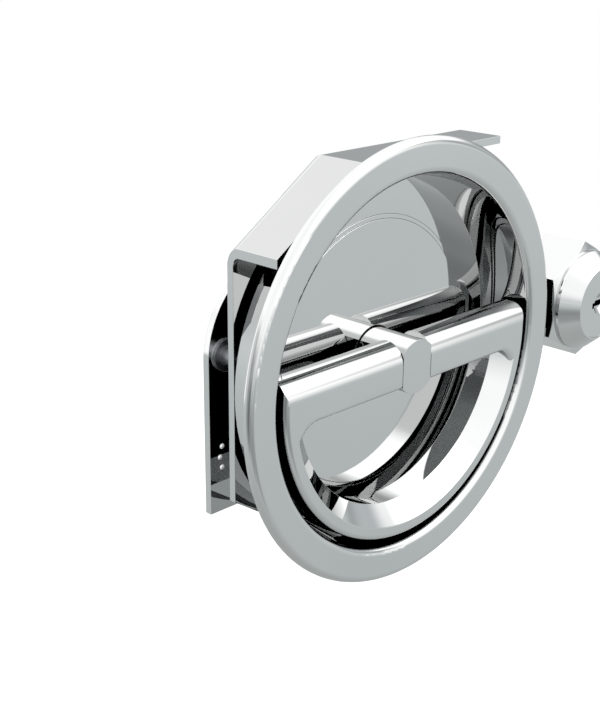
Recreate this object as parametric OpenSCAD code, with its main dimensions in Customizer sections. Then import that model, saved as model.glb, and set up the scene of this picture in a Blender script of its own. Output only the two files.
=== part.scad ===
// Flush cam latch: a round trim ring with a recessed dish, a folding D handle that turns a
// double-D spindle, a cam between two plates behind the dish, and a hexagon cam lock beside it.
// X points right, Y points into the door and Z up. The origin is the centre of the ring's face.

/* [Trim ring and dish] */
// Outer diameter of the trim ring
ring_d = 150; // [148:0.5:158]
// Thickness of the ring's flange
ring_t = 2.8; // [2.6:0.1:3.4]
// Width of the flange, from its outer edge to the mouth of the dish
flange_w = 12; // [11:0.5:12.5]
// Radius of the rounded outer edge of the ring
ring_edge_r = 2.6; // [1:0.1:2.6]
// Radius of the rolled edge at the mouth of the dish
mouth_edge_r = 2.4; // [1:0.1:2.6]
// Depth of the dish floor behind the ring's face
dish_depth = 20; // [19.5:0.1:24]
// How far the dish wall leans inwards from mouth to floor
wall_lean = 3.05; // [2:0.05:3.5]
// Wall of the pressed dish
dish_wall = 1.3; // [1:0.1:1.6]
// Gap between the spindle and the edge of the floor's hole
floor_hole_gap = 0.5; // [0.3:0.1:1]

/* [Floor disc] */
// Radius of the raised disc on the dish floor
disc_r = 47.3; // [40:0.5:50]
// Thickness of the raised disc
disc_t = 0.7; // [0.5:0.1:1]
// Width of the sloping edge of the disc
disc_bevel = 1.7; // [0.5:0.1:2.5]

/* [Gasket] */
// Thickness of the gasket behind the ring
gasket_t = 1; // [0.8:0.1:1.4]
// Width of the gasket
gasket_w = 2.4; // [2:0.1:2.6]
// Gap between the gasket's outer edge and the inside of the bracket's top flange
gasket_gap = 0.1; // [0.1:0.1:0.3]

/* [D handle] */
// Thickness of the handle
handle_t = 14; // [12.5:0.5:14.5]
// Gap between the handle and the dish wall
handle_gap = 0.85; // [0.6:0.05:1.5]
// Height of the top of the crossbar above the ring's axis
bar_top = 9; // [8.5:0.1:10]
// Distance of the crossbar's lower edge below the ring's axis
bar_drop = 6.3; // [5:0.1:6.8]
// Radius of the handle's upper corners
corner_r = 12; // [8:0.5:14]
// Width of the handle's flat front rim
rim_w = 4.5; // [3.5:0.1:6]
// Width of the sloping inner side of the rim
rim_slope = 6.6; // [3:0.1:7]
// Depth of the sloping inner side of the rim
rim_slope_depth = 6; // [3:0.5:9]
// Radius of the window's upper corners
window_corner_r = 9; // [5:0.5:12]
// Rounding of the handle's outer edges
handle_edge_r = 2; // [1:0.1:2.5]

/* [Spindle and hinge pin] */
// Diameter of the spindle
spindle_d = 18.4; // [17.8:0.1:19.6]
// Width of the spindle across its two flats
spindle_flats = 13.8; // [12.5:0.1:15]
// Gap between a flat and the slot in the crossbar
slot_gap = 0.25; // [0.15:0.05:0.5]
// Diameter of the spindle's rear journal
journal_d = 16; // [15.4:0.1:16.6]
// Width of the cam seat across its two flats
cam_seat_flats = 12; // [11:0.1:13]
// Diameter of the hinge pin
pin_d = 5; // [4:0.1:6]
// Length of the hinge pin inside each half of the crossbar
pin_grip = 12; // [8:0.5:18]

/* [Front bracket] */
// Thickness of the bracket sheet
bracket_t = 2.5; // [2:0.1:3]
// Gap between the back of the dish and the bracket
dish_gap = 2.2; // [2:0.1:4]
// Gap between the gasket and the front edges of the flanges
panel_grip = 0.8; // [0.6:0.1:3]
// How far the top flange stays inside the ring's outer edge
top_inset = 5.3; // [3:0.1:6]
// How far the sloping flange stays inside the ring's outer edge
slope_inset = 3.5; // [2:0.1:4]
// Angle of the sloping flange from level
slope_angle = 33.6; // [30:0.2:40]
// Distance of the open left edge from the ring's axis
left_reach = 59.5; // [59.5:0.1:62]
// Distance of the right end from the ring's axis
right_reach = 44.6; // [44:0.1:50]
// Distance of the bottom edge below the ring's axis
bottom_reach = 47; // [45:0.1:48]
// Outer radius of the bends
bend_r = 5; // [4:0.1:6]
// Distance of the bracket's sloping lower left edge from the ring's axis
low_slope_reach = 63.8; // [62:0.1:66]

/* [Rear plate] */
// Space between the bracket and the rear plate
plate_gap = 8.4; // [8.2:0.1:10]
// Thickness of the rear plate
rear_t = 2.5; // [2:0.1:3]
// Distance of the rear plate's left edge from the ring's axis
rear_left = 60.2; // [59.5:0.1:62]
// Distance of the rear plate's right edge from the ring's axis
rear_right = 44; // [43:0.1:48]
// Height of the rear plate's top edge above the ring's axis
rear_top = 38; // [37:0.1:42]
// Distance of the rear plate's bottom edge below the ring's axis
rear_bottom = 45; // [43:0.1:46]
// Radius of the rear plate's upper corners
rear_corner_r = 30.5; // [20:0.5:31]
// Radius of the three small holes near the left edge
small_hole_r = 0.9; // [0.5:0.1:1.2]

/* [Studs, spacers and nuts] */
// Diameter of the welded studs
stud_d = 4; // [3.5:0.1:4.5]
// Outer diameter of the spacers
spacer_d = 6.5; // [6.1:0.1:7]
// Diameter of the spacer's foot at the rear plate
foot_d = 10.8; // [8:0.1:12]
// Thickness of the spacer's foot
foot_t = 0.9; // [0.6:0.1:1]
// Width of a stud nut across its flats
nut_flats = 7; // [6.8:0.1:8]
// Thickness of a stud nut
nut_t = 2.4; // [2:0.1:3.2]

/* [Cam and bushes] */
// Thickness of the cam
cam_t = 5; // [4:0.1:5]
// Length of the cam from the spindle's axis to its tip
cam_reach = 65; // [55:0.5:68]
// Width of the cam's arm
cam_w = 20; // [18:0.5:22]
// Diameter of the cam's hub
hub_d = 31; // [28:0.5:32]
// How far the front face of the cam's arm lies behind the hub's
arm_relief = 0.5; // [0.3:0.1:1]
// Radius of the linkage hole near the cam's tip
linkage_hole_r = 2.6; // [2:0.1:3.5]
// Distance of the linkage hole from the centre of the cam's round tip
linkage_offset = 3; // [0:0.5:4]
// Wall of the bushes
bush_wall = 2.75; // [2:0.05:3]
// Thickness of the bushes' collars
collar_t = 1.2; // [1:0.1:1.4]

/* [Cam lock] */
// Distance of the lock's axis from the ring's axis
lock_x = 104.7; // [103:0.1:112]
// Width of the lock's hexagon across its flats
lock_flats = 39.3; // [38:0.1:40]
// Depth of the hexagon's front face behind the ring's face
hex_depth = 4.6; // [4:0.1:6]
// Radius of the lock's round bezel
bezel_r = 19.1; // [16:0.1:19.4]
// Radius of the bezel's front rim
bezel_front_r = 13.9; // [13:0.1:14.4]
// How far the bezel stands in front of the ring's face
bezel_rise = 3.2; // [2.8:0.1:4]
// Length of the bezel's round neck
bezel_neck = 1.6; // [1:0.1:2.6]
// Radius of the lock's threaded barrel
barrel_r = 11; // [10.5:0.1:11.5]
// Radius of the plug's shaft
plug_r = 8.5; // [8:0.1:9]
// Radius of the plug's face
plug_face_r = 13.2; // [11:0.1:13.2]
// Length of the lock's cam from its axis to its tip
lock_cam_reach = 30; // [24:0.5:32]
// Width of the lock's cam
lock_cam_w = 14; // [12:0.5:16]
// Thickness of the lock's cam
lock_cam_t = 2.5; // [2:0.1:3]
// Width of the keyway
keyway_w = 11; // [8:0.5:12]
// Height of the keyway
keyway_h = 2.2; // [1.6:0.1:2.6]

/* [Hidden] */
$fn = 120;
polished = [0.80, 0.82, 0.82];
plated = [0.62, 0.64, 0.65];
rubber = [0.08, 0.08, 0.09];
bronze = [0.55, 0.42, 0.24];

// Running clearance of shafts in bores, and clearance of studs in their holes
running_gap = 0.05;
stud_gap = 0.25;
// Gap between faces that move past each other
face_gap = 0.3;
// Overshoot of cutting shapes beyond the faces that they cut
over = 1;

// Rings and dish
ring_r = ring_d / 2;
mouth_r = ring_r - flange_w;
floor_r = mouth_r - wall_lean;
dish_back = dish_depth + dish_wall;
gasket_back = ring_t + gasket_t;
disc_front = dish_depth - disc_t;

// Spindle, from front to rear
spindle_r = spindle_d / 2;
journal_r = journal_d / 2;
floor_hole_r = spindle_r + floor_hole_gap;
flats_end = dish_back;

// Handle: its radius follows the dish wall at the handle's rear face
wall_r_at_handle = mouth_r - wall_lean * (handle_t - mouth_edge_r) / (dish_depth - mouth_edge_r);
handle_r = wall_r_at_handle - handle_gap;
window_r = handle_r - rim_w;
// The window's corners are struck this much outside its rim, so that they cross the slope cleanly
corner_relief = 0.4;
pivot_y = handle_t / 2;
pivot_z = bar_top - handle_t / 2;
slot_half = spindle_flats / 2 + slot_gap;
pin_r = pin_d / 2;
pin_end_gap = 0.3;

// Plates
bracket_y = dish_back + dish_gap;
bracket_back = bracket_y + bracket_t;
flange_front = gasket_back + panel_grip;
top_reach = ring_r - top_inset;
slope_reach = ring_r - slope_inset;
gasket_r = top_reach - bracket_t - gasket_gap;
rear_y = bracket_back + plate_gap;
rear_back = rear_y + rear_t;
rear_low_corner_r = 8;

// Cam, held between the collars of the two bushes
cam_back = rear_y - collar_t - face_gap;
cam_y = cam_back - cam_t;
front_bush_end = cam_y - face_gap;
cam_half = cam_w / 2;
linkage_r = cam_reach - cam_half - linkage_offset;
arm_y = cam_y + arm_relief;
front_bush_r = spindle_r + bush_wall;
rear_bush_r = journal_r + bush_wall + 0.7;
collar_w = 3;
rear_bush_end = rear_back + 0.2;

// Thrust washer, circlip and spindle end
thrust_y = rear_bush_end + face_gap;
thrust_t = 1;
clip_y = thrust_y + thrust_t;
clip_t = 1.2;
clip_depth = 0.7;
clip_w = 2.8;
spindle_end = clip_y + clip_t + 2;

// Studs: the two that stand beside the cam's path are also its stops
stud_r = stud_d / 2;
spacer_r = spacer_d / 2;
foot_r = foot_d / 2;
cam_stop = cam_half + spacer_r + face_gap;
stop_distance = 36;
STUDS = [[-53, 8.5], [-22, 29.5], [stop_distance, cam_stop], [-cam_stop, -stop_distance]];
washer_r = 4.5;
washer_t = 0.8;
stud_end = rear_back + washer_t + nut_t + 0.6;
SMALL_HOLES = [[-55.1, -22.3], [-56, -25.9], [-55.2, -29.6]];

// Lock
arm_half = 17;
arm_end = lock_x + 22;
bezel_front = -bezel_rise;
cone_y = hex_depth - bezel_neck;
plug_face_t = 3;
plug_face_y = bezel_front + 0.2;
lock_nut_t = 5;
lock_nut_flats = 27;
barrel_end = bracket_back + lock_nut_t + 2;
lock_cam_y = barrel_end + face_gap;
tail_r = 5.5;
tail_flats = 8;
lock_cam_back = lock_cam_y + lock_cam_t;
lock_washer_t = 1.4;
lock_screw_r = 3;
lock_screw_flats = 10;
lock_screw_head_t = 4;
lock_screw_length = 12;

// Turns a profile of [radius, depth] about the Y axis
module turned() {
    rotate([-90, 0, 0]) rotate_extrude() children();
}

// Extrudes an outline of [x, z] from depth y0 to depth y1
module plate(y0, y1) {
    translate([0, y1, 0]) rotate([90, 0, 0]) linear_extrude(y1 - y0) children();
}

// Extrudes a section of [y, z] along X from x0 to x1
module along_x(x0, x1) {
    translate([x0, 0, 0]) rotate([90, 0, 90]) linear_extrude(x1 - x0) children();
}

// Round bar along Y from depth y0 to depth y1
module rod(r, y0, y1) {
    translate([0, y0, 0]) rotate([-90, 0, 0]) cylinder(r = r, h = y1 - y0);
}

// Flat ring along Y with outer radius r and hole radius bore
module washer(r, bore, y0, y1) {
    difference() {
        rod(r, y0, y1);
        rod(bore, y0 - over, y1 + over);
    }
}

// Round bar with two flats, their width across given by flats
module double_d(r, flats, y0, y1) {
    intersection() {
        rod(r, y0, y1);
        translate([-flats / 2, y0 - over, -r - over])
            cube([flats, y1 - y0 + 2 * over, 2 * (r + over)]);
    }
}

// Hexagonal prism along Y with corners at top and bottom
module hexagon(flats, y0, y1) {
    plate(y0, y1) rotate(30) circle(r = flats / sqrt(3), $fn = 6);
}

// Corner piece to subtract for a rounded edge: the corner is at the origin and the
// material lies towards [-x, +y] for side 1 and towards [+x, +y] for side -1
module edge_cut(r, side) {
    difference() {
        translate([side > 0 ? -r : -over, -over]) square([r + over, r + over]);
        translate([-side * r, r]) circle(r);
    }
}

// Places its children at each stud
module at_studs() {
    for (p = STUDS) translate([p[0], 0, p[1]]) children();
}

// D-shaped outline of radius r, straight edge at height top, its two corners rounded
module d_outline(r, top, corner) {
    centre_z = top - corner;
    centre_x = sqrt(pow(r - corner, 2) - pow(centre_z, 2));
    tangent_z = centre_z * r / (r - corner);
    intersection() {
        circle(r);
        translate([-r, tangent_z - 2 * r]) square([2 * r, 2 * r]);
    }
    translate([-centre_x, tangent_z - over]) square([2 * centre_x, top - tangent_z + over]);
    for (side = [-1, 1]) translate([side * centre_x, centre_z]) circle(corner);
}

// Pressed dish and trim ring in one piece
module dish_profile() {
    difference() {
        polygon([
            [mouth_r, 0], [ring_r, 0], [ring_r, ring_t], [mouth_r + dish_wall, ring_t],
            [floor_r + dish_wall, dish_back], [floor_hole_r, dish_back],
            [floor_hole_r, dish_depth], [floor_r, dish_depth], [mouth_r, mouth_edge_r]
        ]);
        translate([ring_r, 0]) edge_cut(ring_edge_r, 1);
        translate([mouth_r, 0]) edge_cut(mouth_edge_r, -1);
    }
}

module dish() {
    color(polished) turned() dish_profile();
}

// Thin disc with a sloping edge, seated on the dish floor round the spindle
module floor_disc() {
    color(polished) turned() polygon([
        [floor_hole_r, disc_front], [disc_r - disc_bevel, disc_front],
        [disc_r, dish_depth], [floor_hole_r, dish_depth]
    ]);
}

module gasket() {
    color(rubber) washer(gasket_r, gasket_r - gasket_w, ring_t, gasket_back);
}

module weld_studs() {
    color(plated) at_studs() rod(stud_r, dish_back, stud_end);
}

// Half space of [y, n] inside a flange at distance reach, its rear edge rounded
module flange_section(reach, back, bend) {
    translate([-over, -2 * reach]) square([back + over, 3 * reach - bend]);
    translate([-over, -2 * reach]) square([back + over - bend, 3 * reach]);
    translate([back - bend, reach - bend]) circle(bend);
}

// Block bounded by the top flange and the sloping flange, inset by the sheet for the inside
module tray(inset) {
    side = 2 * ring_d;
    intersection() {
        along_x(-side, side) flange_section(top_reach - inset, bracket_back - inset, bend_r - inset);
        rotate([0, -slope_angle, 0]) along_x(-side, side)
            flange_section(slope_reach - inset, bracket_back - inset, bend_r - inset);
    }
}

// Outline of the bracket without its arm
module bracket_outline() {
    out = [-sin(slope_angle), -cos(slope_angle)];
    side = 2 * bottom_reach;
    difference() {
        translate([-left_reach, -bottom_reach])
            square([left_reach + right_reach, bottom_reach + top_reach + over]);
        translate(low_slope_reach * out) rotate(180 - slope_angle) translate([-side, 0])
            square([2 * side, side]);
    }
}

// Arm that carries the lock to the right of the dish
module arm_outline() {
    translate([0, -arm_half]) square([arm_end - arm_half / 2, 2 * arm_half]);
    translate([arm_end - arm_half / 2, arm_half / 2]) circle(arm_half / 2);
    translate([arm_end - arm_half / 2, -arm_half / 2]) circle(arm_half / 2);
    translate([arm_end - arm_half, -arm_half / 2]) square([arm_half, arm_half]);
}

// Folded sheet: back plate, top flange and sloping flange, and the arm for the lock
module front_bracket() {
    color(polished) difference() {
        union() {
            difference() {
                intersection() {
                    tray(0);
                    plate(flange_front, bracket_back) bracket_outline();
                }
                tray(bracket_t);
            }
            plate(bracket_y, bracket_back) arm_outline();
        }
        rod(front_bush_r + running_gap, bracket_y - over, bracket_back + over);
        at_studs() rod(stud_r + stud_gap, bracket_y - over, bracket_back + over);
        translate([lock_x, 0, 0])
            rod(barrel_r + stud_gap, bracket_y - over, bracket_back + over);
    }
}

// Bush in the bracket, its collar between the dish and the bracket
module front_bush() {
    color(bronze) difference() {
        union() {
            rod(front_bush_r, bracket_y - collar_t, front_bush_end);
            rod(front_bush_r + collar_w, bracket_y - collar_t, bracket_y);
        }
        rod(spindle_r + running_gap, bracket_y - collar_t - over, front_bush_end + over);
    }
}

// Tube over each stud, with a foot against the rear plate
module spacers() {
    color(plated) at_studs() difference() {
        union() {
            rod(spacer_r, bracket_back, rear_y);
            rod(foot_r, rear_y - foot_t, rear_y);
        }
        rod(stud_r + stud_gap / 2, bracket_back - over, rear_y + over);
    }
}

// Outline of the rear plate: large upper corners and small lower ones
module rear_outline() {
    difference() {
        translate([-rear_left, -rear_bottom])
            square([rear_left + rear_right, rear_bottom + rear_top]);
        translate([-rear_left, rear_top]) mirror([0, 1]) edge_cut(rear_corner_r, -1);
        translate([rear_right, rear_top]) mirror([0, 1]) edge_cut(rear_corner_r / 2, 1);
        translate([rear_right, -rear_bottom]) edge_cut(rear_low_corner_r, 1);
    }
}

module rear_plate() {
    color(polished) difference() {
        plate(rear_y, rear_back) rear_outline();
        rod(rear_bush_r + running_gap, rear_y - over, rear_back + over);
        at_studs() rod(stud_r + stud_gap, rear_y - over, rear_back + over);
        for (p = SMALL_HOLES) translate([p[0], 0, p[1]])
            rod(small_hole_r, rear_y - over, rear_back + over);
    }
}

// Bush in the rear plate, its collar towards the cam
module rear_bush() {
    color(bronze) difference() {
        union() {
            rod(rear_bush_r, rear_y - collar_t, rear_bush_end);
            rod(rear_bush_r + collar_w, rear_y - collar_t, rear_y);
        }
        rod(journal_r + running_gap, rear_y - collar_t - over, rear_bush_end + over);
    }
}

module stud_washers() {
    color(plated) at_studs()
        washer(washer_r, stud_r + stud_gap / 2, rear_back, rear_back + washer_t);
}

module stud_nuts() {
    nut_y = rear_back + washer_t;
    color(plated) at_studs() difference() {
        hexagon(nut_flats, nut_y, nut_y + nut_t);
        rod(stud_r + running_gap, nut_y - over, nut_y + nut_t + over);
    }
}

// Disc with rounded outer edges, from which the handle is shaped
module handle_disc() {
    turned() difference() {
        square([handle_r, handle_t]);
        translate([handle_r, 0]) edge_cut(handle_edge_r, 1);
        translate([handle_r, handle_t]) mirror([0, 1]) edge_cut(handle_edge_r, 1);
    }
}

// Section that rounds the top of the crossbar about the hinge axis
module bar_crown() {
    along_x(-handle_r - over, handle_r + over) {
        translate([-over, pivot_z - 2 * handle_r]) square([handle_t + 2 * over, 2 * handle_r]);
        translate([pivot_y, pivot_z]) circle(handle_t / 2);
    }
}

// Window with a sloping rim, straight at the crossbar
module handle_window() {
    inner_r = window_r - rim_slope;
    slope = rim_slope / rim_slope_depth;
    intersection() {
        turned() polygon([
            [0, -over], [window_r + slope * over, -over], [inner_r, rim_slope_depth],
            [inner_r, handle_t + over], [0, handle_t + over]
        ]);
        plate(-2 * over, handle_t + 2 * over)
            d_outline(window_r + corner_relief, -bar_drop, window_corner_r);
    }
}

// Cut along the hinge axis of radius r reaching x each way
module hinge_bore(r, x) {
    translate([-x, pivot_y, pivot_z]) rotate([0, 90, 0]) cylinder(r = r, h = 2 * x);
}

module handle() {
    color(polished) difference() {
        intersection() {
            handle_disc();
            plate(-over, handle_t + over) d_outline(handle_r, bar_top, corner_r);
            bar_crown();
        }
        handle_window();
        translate([-slot_half, -over, -bar_drop - over])
            cube([2 * slot_half, handle_t + 2 * over, bar_drop + bar_top + 2 * over]);
        hinge_bore(pin_r + running_gap, slot_half + pin_grip + pin_end_gap);
    }
}

// Double-D head and shank, round journal, cam seat and rear journal with a groove
module spindle() {
    color(polished) difference() {
        union() {
            double_d(spindle_r, spindle_flats, 0, flats_end + over);
            rod(spindle_r, flats_end, cam_y);
            double_d(journal_r, cam_seat_flats, cam_y - over, cam_back + over);
            rod(journal_r, cam_back, spindle_end);
        }
        hinge_bore(pin_r + running_gap / 2, spindle_flats);
        difference() {
            rod(journal_r + over, clip_y, clip_y + clip_t);
            rod(journal_r - clip_depth, clip_y - over, clip_y + clip_t + over);
        }
    }
}

module hinge_pin() {
    color(plated) hinge_bore(pin_r, slot_half + pin_grip);
}

// Outline of the cam's arm pointing down from the spindle's axis to its round tip
module cam_outline() {
    translate([-cam_half, cam_half - cam_reach]) square([cam_w, cam_reach - cam_half]);
    translate([0, cam_half - cam_reach]) circle(cam_half);
}

module cam() {
    color(plated) difference() {
        union() {
            rod(hub_d / 2, cam_y, cam_back);
            plate(arm_y, cam_back) cam_outline();
        }
        double_d(journal_r + running_gap, cam_seat_flats + 2 * running_gap, cam_y - over, cam_back + over);
        translate([0, 0, -linkage_r]) rod(linkage_hole_r, cam_y - over, cam_back + over);
    }
}

module thrust_washer() {
    color(plated) washer(rear_bush_r + collar_w, journal_r + 2 * running_gap, thrust_y, thrust_y + thrust_t);
}

// Open ring in the groove, with two eyes at its gap
module circlip() {
    inner_r = journal_r - clip_depth + running_gap;
    outer_r = inner_r + clip_w;
    gap = 5;
    eye_r = 1.7;
    color(plated) difference() {
        union() {
            rod(outer_r, clip_y, clip_y + clip_t);
            for (side = [-1, 1]) translate([side * (gap / 2 + eye_r), 0, outer_r])
                rod(eye_r, clip_y, clip_y + clip_t);
        }
        rod(inner_r, clip_y - over, clip_y + clip_t + over);
        translate([-gap / 2, clip_y - over, 0]) cube([gap, clip_t + 2 * over, 2 * outer_r]);
    }
}

// Hexagon with turned front corners, round bezel, and threaded barrel
module lock_housing() {
    corner_rise = 0.45;
    half_flats = lock_flats / 2;
    reach = 5;
    recess_floor = plug_face_y + plug_face_t + face_gap;
    color(polished) translate([lock_x, 0, 0]) difference() {
        union() {
            intersection() {
                hexagon(lock_flats, hex_depth, bracket_y);
                turned() polygon([
                    [0, hex_depth], [half_flats, hex_depth],
                    [half_flats + reach, hex_depth + reach * corner_rise],
                    [half_flats + reach, bracket_y + over], [0, bracket_y + over]
                ]);
            }
            turned() polygon([
                [0, bezel_front], [bezel_front_r, bezel_front], [bezel_r, cone_y],
                [bezel_r, hex_depth + over], [0, hex_depth + over]
            ]);
            rod(barrel_r, bracket_y - over, barrel_end);
        }
        rod(plug_face_r + running_gap, bezel_front - over, recess_floor);
        rod(plug_r + running_gap, recess_floor - over, barrel_end + over);
    }
}

module lock_nut() {
    color(plated) translate([lock_x, 0, 0]) difference() {
        hexagon(lock_nut_flats, bracket_back, bracket_back + lock_nut_t);
        rod(barrel_r + running_gap, bracket_back - over, bracket_back + lock_nut_t + over);
    }
}

// Plug with a wide face, a keyway, and a double-D tail for the lock's cam
module lock_plug() {
    dimple_r = 4.4;
    dimple_depth = 1.4;
    keyway_depth = 18;
    color(polished) translate([lock_x, 0, 0]) difference() {
        union() {
            rod(plug_face_r, plug_face_y, plug_face_y + plug_face_t);
            rod(plug_r, plug_face_y, lock_cam_y);
            double_d(tail_r, tail_flats, lock_cam_y - over, lock_cam_back);
        }
        translate([-keyway_w / 2, plug_face_y - over, -keyway_h / 2])
            cube([keyway_w, keyway_depth + over, keyway_h]);
        turned() polygon([
            [0, plug_face_y - over], [dimple_r, plug_face_y - over], [dimple_r, plug_face_y],
            [dimple_r / 2, plug_face_y + dimple_depth], [0, plug_face_y + dimple_depth]
        ]);
        rod(lock_screw_r + running_gap, lock_cam_back - lock_screw_length - over, lock_cam_back + over);
    }
}

// Flat cam of the lock, pointing down
module lock_cam() {
    half = lock_cam_w / 2;
    color(plated) translate([lock_x, 0, 0]) difference() {
        plate(lock_cam_y, lock_cam_back) {
            circle(half + 2.5);
            translate([-half, -lock_cam_reach + half / 2]) square([lock_cam_w, lock_cam_reach - half / 2]);
            for (side = [-1, 1]) translate([side * half / 2, -lock_cam_reach + half / 2]) circle(half / 2);
            translate([-half / 2, -lock_cam_reach]) square([half, half]);
        }
        double_d(tail_r + running_gap, tail_flats + 2 * running_gap, lock_cam_y - over, lock_cam_back + over);
    }
}

module lock_washer() {
    color(plated) translate([lock_x, 0, 0])
        washer(tail_r + 2, lock_screw_r + running_gap, lock_cam_back, lock_cam_back + lock_washer_t);
}

module lock_screw() {
    head_y = lock_cam_back + lock_washer_t;
    color(plated) translate([lock_x, 0, 0]) {
        hexagon(lock_screw_flats, head_y, head_y + lock_screw_head_t);
        rod(lock_screw_r, lock_cam_back - lock_screw_length, head_y + over);
    }
}

dish();
floor_disc();
gasket();
weld_studs();
front_bracket();
front_bush();
spacers();
rear_plate();
rear_bush();
stud_washers();
stud_nuts();
handle();
spindle();
hinge_pin();
cam();
thrust_washer();
circlip();
lock_housing();
lock_nut();
lock_plug();
lock_cam();
lock_washer();
lock_screw();
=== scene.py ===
import logging
import math
from dataclasses import dataclass, field
from enum import Enum
from typing import Any, ClassVar

import bmesh
import bpy
from mathutils import Matrix, Vector


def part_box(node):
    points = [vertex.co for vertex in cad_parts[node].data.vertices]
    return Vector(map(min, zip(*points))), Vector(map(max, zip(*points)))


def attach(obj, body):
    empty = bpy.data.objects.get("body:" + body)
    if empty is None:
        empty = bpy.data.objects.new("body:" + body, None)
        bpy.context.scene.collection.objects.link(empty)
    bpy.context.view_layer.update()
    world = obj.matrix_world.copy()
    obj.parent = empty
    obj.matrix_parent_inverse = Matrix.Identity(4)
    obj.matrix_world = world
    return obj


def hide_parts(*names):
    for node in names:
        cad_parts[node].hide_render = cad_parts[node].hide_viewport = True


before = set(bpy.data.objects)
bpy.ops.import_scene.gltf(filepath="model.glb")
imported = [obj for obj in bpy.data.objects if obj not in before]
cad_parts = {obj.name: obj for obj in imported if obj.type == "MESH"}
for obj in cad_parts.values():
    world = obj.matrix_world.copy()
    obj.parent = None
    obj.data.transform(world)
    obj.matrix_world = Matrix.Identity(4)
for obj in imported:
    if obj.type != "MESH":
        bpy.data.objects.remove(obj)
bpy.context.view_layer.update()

LOG = logging.getLogger("flush_cam_latch")
MM = 0.001

Colour = tuple[float, float, float]
Outline = list[tuple[float, float]]
Span = tuple[float, float]
WHITE: Colour = (1.0, 1.0, 1.0)


class Operation(Enum):
    """The Math node operations that the shader expressions use."""

    ADD = "ADD"
    SUBTRACT = "SUBTRACT"
    MULTIPLY = "MULTIPLY"
    DIVIDE = "DIVIDE"
    MINIMUM = "MINIMUM"
    MAXIMUM = "MAXIMUM"
    SINE = "SINE"
    SQUARE_ROOT = "SQRT"


class Value:
    """A socket that carries one number, with the operators that the shaders need."""

    def __init__(self, shader: "Shader", socket: bpy.types.NodeSocket) -> None:
        """Wrap a socket.

        Args:
            shader: The node tree that the socket belongs to.
            socket: The output socket that holds the number.
        """
        self.shader = shader
        self.socket = socket

    def _math(self, operation: Operation, *operands: "Value | float") -> "Value":
        """Add one Math node.

        Args:
            operation: What the node does.
            operands: Its inputs in order.

        Returns:
            The node's result.
        """
        node = self.shader.tree.nodes.new("ShaderNodeMath")
        node.operation = operation.value
        for place, operand in enumerate(operands):
            self.shader.feed(node.inputs[place], operand)
        return Value(self.shader, node.outputs[0])

    def __add__(self, other: "Value | float") -> "Value":
        """Return self + other."""
        return self._math(Operation.ADD, self, other)

    def __radd__(self, other: float) -> "Value":
        """Return other + self."""
        return self._math(Operation.ADD, other, self)

    def __sub__(self, other: "Value | float") -> "Value":
        """Return self - other."""
        return self._math(Operation.SUBTRACT, self, other)

    def __mul__(self, other: "Value | float") -> "Value":
        """Return self * other."""
        return self._math(Operation.MULTIPLY, self, other)

    def __truediv__(self, other: "Value | float") -> "Value":
        """Return self / other."""
        return self._math(Operation.DIVIDE, self, other)

    def sine(self) -> "Value":
        """Return the sine of self, in radians."""
        return self._math(Operation.SINE, self)

    def root(self) -> "Value":
        """Return the square root of self."""
        return self._math(Operation.SQUARE_ROOT, self)

    def smallest(self, other: "Value | float") -> "Value":
        """Return the smaller of self and other."""
        return self._math(Operation.MINIMUM, self, other)

    def largest(self, other: "Value | float") -> "Value":
        """Return the larger of self and other."""
        return self._math(Operation.MAXIMUM, self, other)

    def step(self, low: float, high: float) -> "Value":
        """Return a smooth step of self.

        Args:
            low: Where the step gives 0.
            high: Where it gives 1; it may lie below low.

        Returns:
            0 to 1.
        """
        ends = {"From Min": low, "From Max": high, "To Min": 0.0, "To Max": 1.0}
        if low > high:
            ends = {"From Min": high, "From Max": low, "To Min": 1.0, "To Max": 0.0}
        node = self.shader.node(
            "ShaderNodeMapRange", {"interpolation_type": "SMOOTHSTEP"}, {"Value": self, **ends}
        )
        return Value(self.shader, node.outputs[0])


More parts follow.
